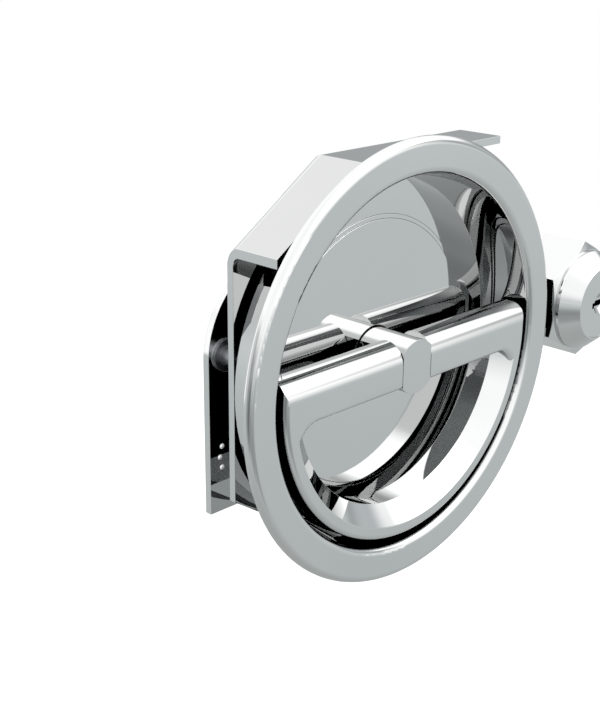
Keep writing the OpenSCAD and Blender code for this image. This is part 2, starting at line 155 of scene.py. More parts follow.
class Shader:
    """A node tree of a material or of the world."""

    def __init__(self, tree: bpy.types.NodeTree) -> None:
        """Empty the tree.

        Args:
            tree: The node tree to fill.
        """
        self.tree = tree
        self.tree.nodes.clear()

    def feed(self, target: bpy.types.NodeSocket, source: Any) -> None:
        """Link or set one input.

        Args:
            target: The input socket.
            source: A Value, a socket, a number, a colour or a vector.
        """
        if isinstance(source, Value):
            self.tree.links.new(source.socket, target)
        elif isinstance(source, bpy.types.NodeSocket):
            self.tree.links.new(source, target)
        elif target.type == "RGBA" and len(source) == 3:
            target.default_value = (*source, 1.0)
        else:
            target.default_value = source

    def node(self, kind: str, settings: dict[str, Any], inputs: dict[Any, Any]) -> bpy.types.Node:
        """Add a node.

        Args:
            kind: The node's type.
            settings: Its properties, set first.
            inputs: What its sockets hold, by name or place.

        Returns:
            The node.
        """
        node = self.tree.nodes.new(kind)
        for name, setting in settings.items():
            setattr(node, name, setting)
        for name, source in inputs.items():
            self.feed(node.inputs[name], source)
        return node

    def coordinates(self, output: str) -> bpy.types.NodeSocket:
        """Add a Texture Coordinate node.

        Args:
            output: The output's name, Object on a material and Generated in the world.

        Returns:
            That output.
        """
        return self.tree.nodes.new("ShaderNodeTexCoord").outputs[output]

    def axes(self, vector: bpy.types.NodeSocket) -> tuple[Value, Value, Value]:
        """Split a vector.

        Args:
            vector: The vector's socket.

        Returns:
            Its X, Y and Z.
        """
        node = self.node("ShaderNodeSeparateXYZ", {}, {0: vector})
        return tuple(Value(self, socket) for socket in node.outputs)

    def noise(self, vector: bpy.types.NodeSocket, scale: float, detail: float = 2.0) -> Value:
        """Add noise.

        Args:
            vector: Where it is read.
            scale: Its fineness, per metre on Object coordinates.
            detail: Its octaves.

        Returns:
            The noise, 0 to 1.
        """
        node = self.node("ShaderNodeTexNoise", {}, {"Vector": vector, "Scale": scale, "Detail": detail})
        return Value(self, node.outputs["Fac"])

    def blend(self, factor: "Value | float", low: Any, high: Any) -> bpy.types.NodeSocket:
        """Mix two colours.

        Args:
            factor: 0 gives low and 1 gives high.
            low: The first colour or socket.
            high: The second.

        Returns:
            The mixed colour.
        """
        node = self.tree.nodes.new("ShaderNodeMix")
        node.data_type = "RGBA"
        self.feed(node.inputs[0], factor)
        self.feed(node.inputs[6], low)
        self.feed(node.inputs[7], high)
        return node.outputs[2]

    def bump(self, height: Value, depth: float, normal: bpy.types.NodeSocket) -> bpy.types.NodeSocket:
        """Bend a normal by a height.

        Args:
            height: The height, 0 to 1.
            depth: What a height of 1 measures, in metres.
            normal: The normal before the bump.

        Returns:
            The bent normal.
        """
        inputs = {"Strength": 1.0, "Distance": depth, "Height": height, "Normal": normal}
        return self.node("ShaderNodeBump", {}, inputs).outputs[0]


@dataclass(frozen=True)
class Finish:
    """What every finish of the latch has in common.

    Attributes:
        name: The material's name.
        edge: How wide the edges look broken, in metres.
        edge_samples: How often each edge is sampled.
    """

    name: str
    edge: float = 0.22 * MM
    edge_samples: int = 6

    def material(self) -> bpy.types.Material:
        """Build the material with its output in place."""
        material = bpy.data.materials.new(self.name)
        material.use_nodes = True
        shader = Shader(material.node_tree)
        surface = self.surface(shader)
        shader.node("ShaderNodeOutputMaterial", {}, {"Surface": surface})
        return material

    def surface(self, shader: Shader) -> bpy.types.NodeSocket:
        """Build the surface.

        Args:
            shader: The tree to build it in.

        Returns:
            The shader socket for the output.
        """
        raise NotImplementedError

    def broken_edge(self, shader: Shader) -> bpy.types.NodeSocket:
        """Round the edges a little in the shading.

        Args:
            shader: The tree to build it in.

        Returns:
            The normal.
        """
        bevel = shader.node("ShaderNodeBevel", {"samples": self.edge_samples}, {"Radius": self.edge})
        return bevel.outputs[0]

    def metal(self, shader: Shader, colour: Any, roughness: Any, normal: Any) -> bpy.types.NodeSocket:
        """Build bare metal.

        Args:
            shader: The tree to build it in.
            colour: Its colour.
            roughness: Its roughness.
            normal: Its normal.

        Returns:
            The shader socket.
        """
        inputs = {"Base Color": colour, "Metallic": 1.0, "Roughness": roughness, "Normal": normal}
        return shader.node("ShaderNodeBsdfPrincipled", {}, inputs).outputs[0]


@dataclass(frozen=True)
class PolishedSteel(Finish):
    """Mirror-polished steel, with the faint unevenness that polishing leaves.

    Steel that is seen in other steel looks darker, because its light was reflected more than once.

    Attributes:
        colour: The clear steel's colour.
        haze_colour: Its colour where it is a little hazy.
        reflected_colour: Its colour in other steel.
        roughness: The clear steel's roughness.
        haze: What the haze adds to it.
        cloud_scale: The fineness of the hazy places, per metre.
        cloud_span: From where to where the noise turns to haze.
        ripple_scale: The fineness of the ripple, per metre.
        ripple_depth: Its depth, in metres.
    """

    name: str = "polished_steel"
    colour: Colour = (0.93, 0.94, 0.94)
    haze_colour: Colour = (0.91, 0.92, 0.925)
    reflected_colour: Colour = (0.55, 0.555, 0.555)
    roughness: float = 0.006
    haze: float = 0.010
    cloud_scale: float = 22.0
    cloud_span: Span = (0.35, 0.75)
    ripple_scale: float = 700.0
    ripple_depth: float = 0.0012 * MM

    def surface(self, shader: Shader) -> bpy.types.NodeSocket:
        """Build the surface."""
        place = shader.coordinates("Object")
        cloud = shader.noise(place, self.cloud_scale, 3.0).step(*self.cloud_span)
        ripple = shader.noise(place, self.ripple_scale)
        path = shader.node("ShaderNodeLightPath", {}, {})
        direct = shader.blend(cloud, self.colour, self.haze_colour)
        normal = shader.bump(ripple, self.ripple_depth, self.broken_edge(shader))
        seen = self.metal(shader, direct, self.roughness + cloud * self.haze, normal)
        mirrored = shader.node("ShaderNodeBsdfPrincipled", {}, {
            "Base Color": self.reflected_colour, "Metallic": 1.0, "Roughness": 0.0,
        })
        return shader.node("ShaderNodeMixShader", {}, {
            0: path.outputs["Is Glossy Ray"], 1: seen, 2: mirrored.outputs[0],
        }).outputs[0]


@dataclass(frozen=True)
class PlatedSteel(Finish):
    """Zinc-plated steel: duller than the polished steel, with a fine speckle.

    Attributes:
        colour: The bright plating's colour.
        dull_colour: Its colour where it is dull.
        roughness: The bright plating's roughness.
        spread: What the dull places add to it.
        cloud_scale: The fineness of the dull places, per metre.
        cloud_span: From where to where the noise turns dull.
        speckle_scale: The fineness of the speckle, per metre.
        speckle_depth: Its depth, in metres.
    """

    name: str = "plated_steel"
    colour: Colour = (0.44, 0.45, 0.46)
    dull_colour: Colour = (0.36, 0.37, 0.385)
    roughness: float = 0.20
    spread: float = 0.16
    cloud_scale: float = 140.0
    cloud_span: Span = (0.3, 0.7)
    speckle_scale: float = 2600.0
    speckle_depth: float = 0.006 * MM

    def surface(self, shader: Shader) -> bpy.types.NodeSocket:
        """Build the surface."""
        place = shader.coordinates("Object")
        cloud = shader.noise(place, self.cloud_scale, 4.0).step(*self.cloud_span)
        speckle = shader.noise(place, self.speckle_scale)
        colour = shader.blend(cloud, self.colour, self.dull_colour)
        normal = shader.bump(speckle, self.speckle_depth, self.broken_edge(shader))
        return self.metal(shader, colour, self.roughness + cloud * self.spread, normal)


@dataclass(frozen=True)
class BushBronze(Finish):
    """Turned bronze with fine rings round the spindle's axis.

    Attributes:
        colour: The clean bronze's colour.
        dark_colour: Its colour where it is stained.
        roughness: The clean bronze's roughness.
        stain_roughness: What the stains add to it.
        stain_scale: The fineness of the stains, per metre.
        stain_span: From where to where the noise turns to stain.
        ring_pitch: The distance from ring to ring, in metres.
        ring_depth: Their depth.
    """

    name: str = "bush_bronze"
    colour: Colour = (0.60, 0.43, 0.22)
    dark_colour: Colour = (0.46, 0.31, 0.15)
    roughness: float = 0.26
    stain_roughness: float = 0.12
    stain_scale: float = 260.0
    stain_span: Span = (0.35, 0.75)
    ring_pitch: float = 0.35 * MM
    ring_depth: float = 0.004 * MM

    def surface(self, shader: Shader) -> bpy.types.NodeSocket:
        """Build the surface."""
        place = shader.coordinates("Object")
        x, _, z = shader.axes(place)
        radius = (x * x + z * z).root()
        rings = (radius * (math.tau / self.ring_pitch)).sine() * 0.5 + 0.5
        stain = shader.noise(place, self.stain_scale, 3.0).step(*self.stain_span)
        normal = shader.bump(rings, self.ring_depth, self.broken_edge(shader))
        colour = shader.blend(stain, self.colour, self.dark_colour)
        return self.metal(shader, colour, self.roughness + stain * self.stain_roughness, normal)


@dataclass(frozen=True)
class GasketRubber(Finish):
    """Matte black rubber with a moulded grain.

    Attributes:
        colour: The clean rubber's colour.
        dusty_colour: Its colour where it is dusty.
        roughness: Its roughness.
        grain_roughness: What the grain adds to it.
        grain_scale: The fineness of the grain, per metre.
        grain_depth: Its depth, in metres.
        dust_scale: The fineness of the dusty places, per metre.
        dust_span: From where to where the noise turns to dust.
    """

    name: str = "gasket_rubber"
    colour: Colour = (0.028, 0.028, 0.031)
    dusty_colour: Colour = (0.055, 0.055, 0.057)
    roughness: float = 0.62
    grain_roughness: float = 0.2
    grain_scale: float = 1500.0
    grain_depth: float = 0.03 * MM
    dust_scale: float = 90.0
    dust_span: Span = (0.4, 0.8)

    def surface(self, shader: Shader) -> bpy.types.NodeSocket:
        """Build the surface."""
        place = shader.coordinates("Object")
        grain = shader.noise(place, self.grain_scale, 3.0)
        dust = shader.noise(place, self.dust_scale, 3.0).step(*self.dust_span)
        return shader.node("ShaderNodeBsdfPrincipled", {}, {
            "Base Color": shader.blend(dust, self.colour, self.dusty_colour),
            "Roughness": self.roughness + grain * self.grain_roughness,
            "Normal": shader.bump(grain, self.grain_depth, self.broken_edge(shader)),
        }).outputs[0]


@dataclass(frozen=True)
class Wall:
    """A wall of the studio that the polished steel shows.

    Attributes:
        colour: Its brightness.
        azimuth: Where its middle lies, in degrees from +Y towards +X.
        half_width: Half of its width, in degrees.
        softness: How wide its edges fade, in degrees.
        low: The height of a direction where it starts.
        high: The height where it is full.
        LEAST_LEVEL: The least level part of a direction, which keeps straight up defined.
    """

    LEAST_LEVEL: ClassVar[float] = 0.001

    colour: Colour
    azimuth: float
    half_width: float
    softness: float
    low: float
    high: float

    def mask(self, x: Value, y: Value, z: Value) -> Value:
        """Tell how much of the wall a direction meets.

        Args:
            x: The direction's X.
            y: Its Y.
            z: Its Z.

        Returns:
            0 beside the wall to 1 on it.
        """
        angle = math.radians(self.azimuth)
        level = (x * x + y * y).root().largest(self.LEAST_LEVEL)
        along = (x * math.sin(angle) + y * math.cos(angle)) / level
        outer = math.cos(math.radians(self.half_width + self.softness))
        inner = math.cos(math.radians(self.half_width - self.softness))
        return along.step(outer, inner) * z.step(self.low, self.high)


@dataclass(frozen=True)
class Spot:
    """A round, soft place in the studio that is darker or brighter than its surroundings.

    Attributes:
        factor: What the brightness is multiplied by in its middle.
        azimuth: Where its middle lies, in degrees from +Y towards +X.
        elevation: How high its middle lies, in degrees.
        radius: Where it ends, in degrees.
        flat: How far its middle reaches, in degrees.
    """

    factor: float
    azimuth: float
    elevation: float
    radius: float
    flat: float

    def gain(self, x: Value, y: Value, z: Value) -> Value:
        """Tell how bright the spot makes a direction.

        Args:
            x: The direction's X.
            y: Its Y.
            z: Its Z.

        Returns:
            The spot's factor in its middle, and 1 beyond its end.
        """
        turn, rise = math.radians(self.azimuth), math.radians(self.elevation)
        east, north, up = math.sin(turn) * math.cos(rise), math.cos(turn) * math.cos(rise), math.sin(rise)
        near = (x * east + y * north + z * up).step(
            math.cos(math.radians(self.radius)), math.cos(math.radians(self.flat))
        )
        return near * (self.factor - 1.0) + 1.0


@dataclass(frozen=True)
class Studio:
    """A plain pale studio: grey ground, white overhead, pale walls and shadows beside the camera.

    Attributes:
        ground_horizon: The ground's colour far away.
        ground_below: Its colour straight below.
        haze: The colour between the ground and the sky.
        sky: The colour overhead.
        haze_span: Between which heights of a direction the ground turns to haze.
        sky_span: Between which heights the haze turns to sky.
        pale_walls: The grey walls, which lie behind the sky.
        white_walls: The white walls, which lie in front of it.
        shadows: Places that are darker or brighter in every reflection.
        key: The key light.
        second_bounce: Between which ray depths a reflection counts as the second.
        floor_height: The floor's height, in metres.
        floor_half: Half of its width.
        floor_colour: Its colour.
        floor_lift: What it gives off by itself.
    """

    ground_horizon: Colour = (0.540, 0.575, 0.572)
    ground_below: Colour = (0.350, 0.368, 0.365)
    haze: Colour = (0.360, 0.378, 0.383)
    sky: Colour = (1.06, 1.06, 1.05)
    haze_span: Span = (-0.03, 0.09)
    sky_span: Span = (0.26, 0.46)
    pale_walls: tuple[Wall, ...] = (
        Wall((0.70, 0.72, 0.72), azimuth=8.0, half_width=26.0, softness=9.0, low=-0.10, high=0.02),
        Wall((0.60, 0.62, 0.62), azimuth=-55.0, half_width=30.0, softness=14.0, low=-0.30, high=0.06),
    )
    white_walls: tuple[Wall, ...] = (
        Wall((1.06, 1.06, 1.05), azimuth=171.0, half_width=43.0, softness=9.0, low=-0.23, high=0.16),
        Wall((1.00, 1.00, 1.00), azimuth=-130.0, half_width=28.0, softness=12.0, low=-0.16, high=0.34),
        Wall((1.06, 1.06, 1.05), azimuth=-49.0, half_width=9.0, softness=5.0, low=-0.26, high=-0.18),
    )
    shadows: tuple[Spot, ...] = (
        Spot(0.55, azimuth=-107.0, elevation=-9.0, radius=30.0, flat=2.0),
        Spot(0.50, azimuth=-122.0, elevation=-19.0, radius=20.0, flat=2.0),
        Spot(0.62, azimuth=-148.0, elevation=-27.0, radius=20.0, flat=2.0),
        Spot(0.66, azimuth=-176.0, elevation=-28.0, radius=20.0, flat=2.0),
        Spot(0.80, azimuth=4.0, elevation=42.0, radius=18.0, flat=8.0),
        Spot(0.76, azimuth=131.0, elevation=19.0, radius=10.0, flat=3.0),
        Spot(1.30, azimuth=103.0, elevation=16.0, radius=14.0, flat=4.0),
    )
    key: Spot = Spot(1.9, azimuth=147.0, elevation=46.0, radius=34.0, flat=18.0)
    second_bounce: Span = (1.4, 1.6)
    floor_height: float = -0.42
    floor_half: float = 1.6
    floor_colour: Colour = (0.80, 0.80, 0.80)
    floor_lift: float = 0.35

    def world(self) -> bpy.types.World:
        """Build the world: white to the camera, the studio's greys to everything else.

        The key light is no brighter than white where the steel shows it once. Its true brightness only
        shows in steel that is seen in other steel.
        """
        world = bpy.data.worlds.new("studio")
        world.use_nodes = True
        shader = Shader(world.node_tree)
        x, y, z = shader.axes(shader.coordinates("Generated"))
        path = shader.node("ShaderNodeLightPath", {}, {})
        ground = shader.blend((z + 1.0).smallest(1.0), self.ground_below, self.ground_horizon)
        room = shader.blend(z.step(*self.haze_span), ground, self.haze)
        for wall in self.pale_walls:
            room = shader.blend(wall.mask(x, y, z), room, wall.colour)
        room = shader.blend(z.step(*self.sky_span), room, self.sky)
        for wall in self.white_walls:
            room = shader.blend(wall.mask(x, y, z), room, wall.colour)
        deep = Value(shader, path.outputs["Ray Depth"]).step(*self.second_bounce)
        gain = (self.key.gain(x, y, z) - 1.0) * deep + 1.0
        for shadow in self.shadows:
            gain = gain * shadow.gain(x, y, z)
        to_camera = Value(shader, path.outputs["Is Camera Ray"])
        shown = shader.blend(to_camera, room, WHITE)
        strength = to_camera.largest(gain)
        light = shader.node("ShaderNodeBackground", {}, {"Color": shown, "Strength": strength})
        shader.node("ShaderNodeOutputWorld", {}, {"Surface": light.outputs[0]})
        return world

    def floor_material(self) -> bpy.types.Material:
        """Build the floor's material: pale to the camera, and no mirror image in the steel."""
        material = bpy.data.materials.new("studio_floor")
        material.use_nodes = True
        shader = Shader(material.node_tree)
        path = shader.node("ShaderNodeLightPath", {}, {})
        pale = shader.node("ShaderNodeBsdfDiffuse", {}, {"Color": self.floor_colour})
        lift = shader.node("ShaderNodeEmission", {}, {"Color": WHITE, "Strength": self.floor_lift})
        shown = shader.node("ShaderNodeAddShader", {}, {0: pale.outputs[0], 1: lift.outputs[0]})
        clear = shader.node("ShaderNodeBsdfTransparent", {}, {})
        mixed = shader.node("ShaderNodeMixShader", {}, {
            0: path.outputs["Is Camera Ray"], 1: clear.outputs[0], 2: shown.outputs[0],
        })
        shader.node("ShaderNodeOutputMaterial", {}, {"Surface": mixed.outputs[0]})
        return material

    def floor(self) -> bpy.types.Object:
        """Build the floor far below the latch."""
        half = self.floor_half
        square = ((-half, -half), (half, -half), (half, half), (-half, half))
        corners = [(x, y, self.floor_height) for x, y in square]
        mesh = bpy.data.meshes.new("studio_floor")
        mesh.from_pydata(corners, [], [(0, 1, 2, 3)])
        mesh.materials.append(self.floor_material())
        floor = bpy.data.objects.new("studio_floor", mesh)
        bpy.context.scene.collection.objects.link(floor)
        return floor


@dataclass(frozen=True)
class PhotoCamera:
    """The photograph's camera, in degrees and metres, for a frame of 600 by 720.

    Attributes:
        azimuth: How far it is turned about Z from looking along +Y.
        elevation: How far it looks down.
        roll: How far it is rolled.
        place: Where it stands.
        focal_pixels: Its focal length in pixels of the frame.
        frame_height: The frame's height in pixels.
        sensor: The sensor's longer side, in millimetres.
        clip: The nearest and the farthest distance that it sees.
    """

    azimuth: float = -45.33
    elevation: float = 19.63
    roll: float = 0.466
    place: tuple[float, float, float] = (-0.30515, -0.24774, 0.14153)
    focal_pixels: float = 1272.4
    frame_height: int = 720
    sensor: float = 36.0
    clip: Span = (0.01, 50.0)

    def build(self) -> bpy.types.Object:
        """Create the camera and make it the scene's own."""
        data = bpy.data.cameras.new("photo_camera")
        data.sensor_width = self.sensor
        data.sensor_fit = "AUTO"
        data.lens = self.focal_pixels * self.sensor / self.frame_height
        data.clip_start, data.clip_end = self.clip
        camera = bpy.data.objects.new("photo_camera", data)
        turn = Matrix.Rotation(math.radians(self.azimuth), 4, "Z")
        tilt = Matrix.Rotation(math.radians(90.0 - self.elevation), 4, "X")
        roll = Matrix.Rotation(math.radians(self.roll), 4, "Z")
        camera.matrix_world = Matrix.Translation(Vector(self.place)) @ turn @ tilt @ roll
        bpy.context.scene.collection.objects.link(camera)
        bpy.context.scene.camera = camera
        return camera


@dataclass(frozen=True)
class ThreadSpec:
    """One thread on a round shank along Y.

    Attributes:
        name: The piece's name.
        body: The body that it rides on.
        places: X and Z of each shank, in metres.
        radius: The shank's radius, in metres.
        start: The Y where the thread starts.
        length: Its length.
        pitch: The distance from turn to turn.
    """

    name: str
    body: str
    places: tuple[tuple[float, float], ...]
    radius: float
    start: float
    length: float
    pitch: float


class ThreadMaker:
    """Builds threads with one node group.

    Attributes:
        SIDES: The steps of one turn.
        CORNERS: The corners of the ridge's section.
        RIDGE: The ridge's radius as a share of the pitch.
    """

    SIDES = 24
    CORNERS = 4
    RIDGE = 0.42

    def __init__(self, material: bpy.types.Material) -> None:
        """Keep the material and build the node group.

        Args:
            material: The finish of the threads.
        """
        self.material = material
        self.group = self._group()

    def _group(self) -> bpy.types.NodeTree:
        """Build the node group: a spiral ridge on every point of the incoming mesh."""
        group = bpy.data.node_groups.new("shank_thread", "GeometryNodeTree")
        group.interface.new_socket("Places", in_out="INPUT", socket_type="NodeSocketGeometry")
        for name in ("Radius", "Length", "Turns", "Ridge"):
            group.interface.new_socket(name, in_out="INPUT", socket_type="NodeSocketFloat")
        group.interface.new_socket("Finish", in_out="INPUT", socket_type="NodeSocketMaterial")
        group.interface.new_socket("Thread", in_out="OUTPUT", socket_type="NodeSocketGeometry")
        new, link = group.nodes.new, group.links.new
        given, result = new("NodeGroupInput"), new("NodeGroupOutput")
        spiral, ridge = new("GeometryNodeCurveSpiral"), new("GeometryNodeCurvePrimitiveCircle")
        spiral.inputs["Resolution"].default_value = self.SIDES
        ridge.inputs["Resolution"].default_value = self.CORNERS
        link(given.outputs["Turns"], spiral.inputs["Rotations"])
        link(given.outputs["Radius"], spiral.inputs["Start Radius"])
        link(given.outputs["Radius"], spiral.inputs["End Radius"])
        link(given.outputs["Length"], spiral.inputs["Height"])
        link(given.outputs["Ridge"], ridge.inputs["Radius"])
        sweep, turn = new("GeometryNodeCurveToMesh"), new("GeometryNodeTransform")
        sweep.inputs["Fill Caps"].default_value = True
        turn.inputs["Rotation"].default_value = (math.radians(-90.0), 0.0, 0.0)
        link(spiral.outputs["Curve"], sweep.inputs["Curve"])
        link(ridge.outputs["Curve"], sweep.inputs["Profile Curve"])
        link(sweep.outputs["Mesh"], turn.inputs["Geometry"])
        copies, real = new("GeometryNodeInstanceOnPoints"), new("GeometryNodeRealizeInstances")
        paint = new("GeometryNodeSetMaterial")
        link(given.outputs["Places"], copies.inputs["Points"])
        link(turn.outputs["Geometry"], copies.inputs["Instance"])
        link(copies.outputs["Instances"], real.inputs["Geometry"])
        link(real.outputs["Geometry"], paint.inputs["Geometry"])
        link(given.outputs["Finish"], paint.inputs["Material"])
        link(paint.outputs["Geometry"], result.inputs["Thread"])
        return group

    def build(self, spec: ThreadSpec) -> bpy.types.Object:
        """Build one thread as a plain mesh and let it ride on its body.

        Args:
            spec: Its sizes and places.

        Returns:
            The piece.
        """
        carrier_mesh = bpy.data.meshes.new(spec.name + "_places")
        carrier_mesh.from_pydata([(x, spec.start, z) for x, z in spec.places], [], [])
        carrier = bpy.data.objects.new(spec.name + "_places", carrier_mesh)
        bpy.context.scene.collection.objects.link(carrier)
        modifier = carrier.modifiers.new("thread", "NODES")
        modifier.node_group = self.group
        values = {
            "Radius": spec.radius, "Length": spec.length, "Turns": spec.length / spec.pitch,
            "Ridge": spec.pitch * self.RIDGE, "Finish": self.material,
        }
        for item in self.group.interface.items_tree:
            if item.in_out == "INPUT" and item.name in values:
                modifier[item.identifier] = values[item.name]
        evaluated = carrier.evaluated_get(bpy.context.evaluated_depsgraph_get())
        mesh = bpy.data.meshes.new_from_object(evaluated)
        mesh.name = spec.name
        bpy.data.objects.remove(carrier)
        piece = bpy.data.objects.new(spec.name, mesh)
        bpy.context.scene.collection.objects.link(piece)
        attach(piece, spec.body)
        LOG.info("built %s with %d faces", spec.name, len(mesh.polygons))
        return piece


class Combine(Enum):
    """How two solids are combined."""

    CUT = "DIFFERENCE"
    COMMON = "INTERSECT"


@dataclass
class Solid:
    """A closed mesh that pieces are shaped from.

    Attributes:
        item: Its Blender object.
        SIDES: The steps of a full turn.
        SHARP: Edges that turn by more than this stay sharp, in degrees.
        FACE_WEIGHT: How strongly large faces hold the normals.
    """

    SIDES: ClassVar[int] = 192
    SHARP: ClassVar[float] = 28.0
    FACE_WEIGHT: ClassVar[int] = 100

    item: bpy.types.Object

    @classmethod
    def from_faces(cls, points: list[tuple[float, float, float]], faces: list[tuple[int, ...]]) -> "Solid":
        """Make a solid whose faces point outwards.

        Args:
            points: Its corners.
            faces: The corners of each face.

        Returns:
            The solid.
        """
        mesh = bpy.data.meshes.new("solid")
        mesh.from_pydata(points, [], faces)
        shell = bmesh.new()
        shell.from_mesh(mesh)
        bmesh.ops.recalc_face_normals(shell, faces=shell.faces)
        shell.to_mesh(mesh)
        shell.free()
        item = bpy.data.objects.new("solid", mesh)
        bpy.context.scene.collection.objects.link(item)
        return cls(item)

    @classmethod
    def turned(cls, profile: Outline) -> "Solid":
        """Turn a closed profile about Y.

        Args:
            profile: Radius and Y of its points; two neighbours may lie on the axis.

        Returns:
            The solid.
        """
        points, rings = [], []
        for radius, y in profile:
            steps = 1 if radius == 0.0 else cls.SIDES
            rings.append([len(points) + step for step in range(steps)])
            for step in range(steps):
                turn = math.tau * step / cls.SIDES
                points.append((radius * math.cos(turn), y, radius * math.sin(turn)))
        faces = []
        for ring, following in zip(rings, rings[1:] + rings[:1]):
            for step in range(cls.SIDES if len(ring) + len(following) > 2 else 0):
                corners = (
                    ring[step % len(ring)], ring[(step + 1) % len(ring)],
                    following[(step + 1) % len(following)], following[step % len(following)],
                )
                faces.append(tuple(dict.fromkeys(corners)))
        return cls.from_faces(points, faces)

    @classmethod
    def stacked(cls, layers: list[tuple[float, Outline]]) -> "Solid":
        """Join outlines in X and Z that lie one behind the other.

        Args:
            layers: The Y of each outline and its points, equally many in each.

        Returns:
            The solid.
        """
        count = len(layers[0][1])
        points = [(x, y, z) for y, outline in layers for x, z in outline]
        faces = [tuple(range(count)), tuple(range(len(points) - count, len(points)))]
        for layer in range(len(layers) - 1):
            for step in range(count):
                low, high = layer * count + step, layer * count + (step + 1) % count
                faces.append((low, high, high + count, low + count))
        return cls.from_faces(points, faces)

    @classmethod
    def along_x(cls, reach: float, section: Outline) -> "Solid":
        """Pull a section along X.

        Args:
            reach: How far it reaches each way.
            section: Y and Z of its points.

        Returns:
            The solid.
        """
        count = len(section)
        points = [(x, y, z) for x in (-reach, reach) for y, z in section]
        faces = [tuple(range(count)), tuple(range(count, 2 * count))]
        for step in range(count):
            following = (step + 1) % count
            faces.append((step, following, following + count, step + count))
        return cls.from_faces(points, faces)

    def combine(self, other: "Solid", how: Combine) -> "Solid":
        """Cut another solid from this one, or keep what both share.

        Args:
            other: The other solid, which is used up.
            how: What is done with it.

        Returns:
            This solid, changed.
        """
        modifier = self.item.modifiers.new("combine", "BOOLEAN")
        modifier.solver = "MANIFOLD"
        modifier.operation = how.value
        modifier.object = other.item
        evaluated = self.item.evaluated_get(bpy.context.evaluated_depsgraph_get())
        mesh = bpy.data.meshes.new_from_object(evaluated)
        self.item.modifiers.clear()
        self.item.data = mesh
        bpy.data.objects.remove(other.item)
        return self

    def finish(self, name: str, material: bpy.types.Material, body: str, node: str) -> bpy.types.Object:
        """Make the solid a piece of the latch in place of a node.

        Args:
            name: The piece's name.
            material: Its finish.
            body: The body that it rides on.
            node: The node that it stands for.

        Returns:
            The piece.
        """
        mesh = self.item.data
        mesh.materials.clear()
        mesh.materials.append(material)
        mesh.shade_smooth()
        mesh.set_sharp_from_angle(angle=math.radians(self.SHARP))
        weight = self.item.modifiers.new("weight", "WEIGHTED_NORMAL")
        weight.keep_sharp = True
        weight.weight = self.FACE_WEIGHT
        evaluated = self.item.evaluated_get(bpy.context.evaluated_depsgraph_get())
        final = bpy.data.meshes.new_from_object(evaluated)
        self.item.modifiers.clear()
        self.item.data = final
        final.name = self.item.name = name
        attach(self.item, body)
        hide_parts(node)
        LOG.info("built %s with %d faces", name, len(final.polygons))
        return self.item


def arc(centre: tuple[float, float], radius: float, start: float, end: float, steps: int) -> Outline:
    """Draw an arc.

    Args:
        centre: Its centre.
        radius: Its radius.
        start: The angle where it starts, in degrees.
        end: The angle where it ends.
        steps: How many steps it takes.

    Returns:
        Its points, both ends included.
    """
    points = []
    for step in range(steps + 1):
        angle = math.radians(start + (end - start) * step / steps)
        points.append((centre[0] + radius * math.cos(angle), centre[1] + radius * math.sin(angle)))
    return points


def d_outline(radius: float, top: float, corner: float, turns: int = 14, steps: int = 120) -> Outline:
    """Draw a circle about the axis with a straight top and round corners.

    Args:
        radius: The circle's radius.
        top: The height of the straight top.
        corner: The radius of the corners.
        turns: The steps of each corner.
        steps: The steps of the circle.

    Returns:
        Its points.
    """
    side = math.sqrt((radius - corner) ** 2 - (top - corner) ** 2)
    lean = math.degrees(math.atan2(top - corner, side))
    right = arc((side, top - corner), corner, lean, 90.0, turns)
    left = arc((-side, top - corner), corner, 90.0, 180.0 - lean, turns)
    return right + left + arc((0.0, 0.0), radius, 180.0 - lean, 360.0 + lean, steps)[1:-1]


@dataclass
class Finishes:
    """The materials of the latch, built once."""

    polished: bpy.types.Material = field(default_factory=lambda: PolishedSteel().material())
    plated: bpy.types.Material = field(default_factory=lambda: PlatedSteel().material())
    bronze: bpy.types.Material = field(default_factory=lambda: BushBronze().material())
    rubber: bpy.types.Material = field(default_factory=lambda: GasketRubber().material())


@dataclass
class Assembly:
    """A group of nodes that are dressed together.

    Attributes:
        finishes: The materials of the latch.
    """

    finishes: Finishes

    def dress_nodes(self, material: bpy.types.Material, names: tuple[str, ...]) -> None:
        """Give nodes a material.

        Args:
            material: The finish.
            names: The nodes.
        """
        for name in names:
            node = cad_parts[name]
            for slot in node.material_slots:
                slot.material = material
            LOG.info("dressed %s in %s", name, material.name)

    def dress(self) -> None:
        """Give the assembly's nodes their finishes."""
        raise NotImplementedError

    def build(self) -> None:
        """Add the pieces that only the scene has."""


@dataclass
class TrimRing(Assembly):
    """The ring with its dish, the disc on the dish floor and the gasket.

    Attributes:
        shelf: The width of the shelf round the disc, in metres.
        step_round: The rounding of the disc's two steps.
        foot: The height of the strip where the disc meets the dish floor.
        hole_gap: The gap between the spindle and the disc's hole.
    """

    shelf: float = 1.5 * MM
    step_round: float = 0.28 * MM
    foot: float = 0.01 * MM
    hole_gap: float = 0.5 * MM

    def dress(self) -> None:
        """Polish the pressing and its disc; the gasket is rubber."""
        self.dress_nodes(self.finishes.polished, ("dish", "floor_disc"))
        self.dress_nodes(self.finishes.rubber, ("gasket",))

    def build(self) -> None:
        """Turn the disc with its two rounded steps."""
        low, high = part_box("floor_disc")
        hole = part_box("spindle")[1][2] + self.hole_gap
        outer, back, front = high[0], high[1], low[1]
        middle = front + (back - front) / 2
        profile = [(hole, back), (outer, back)]
        steps = ((outer, back - self.foot, middle), (outer - self.shelf, middle, front))
        for radius, foot, top in steps:
            centre = (radius - self.step_round, top + self.step_round)
            profile.append((radius, foot))
            profile += arc(centre, self.step_round, 0.0, -90.0, 6)
        profile.append((hole, front))
        Solid.turned(profile).finish("dish_floor_disc", self.finishes.polished, "frame", "floor_disc")


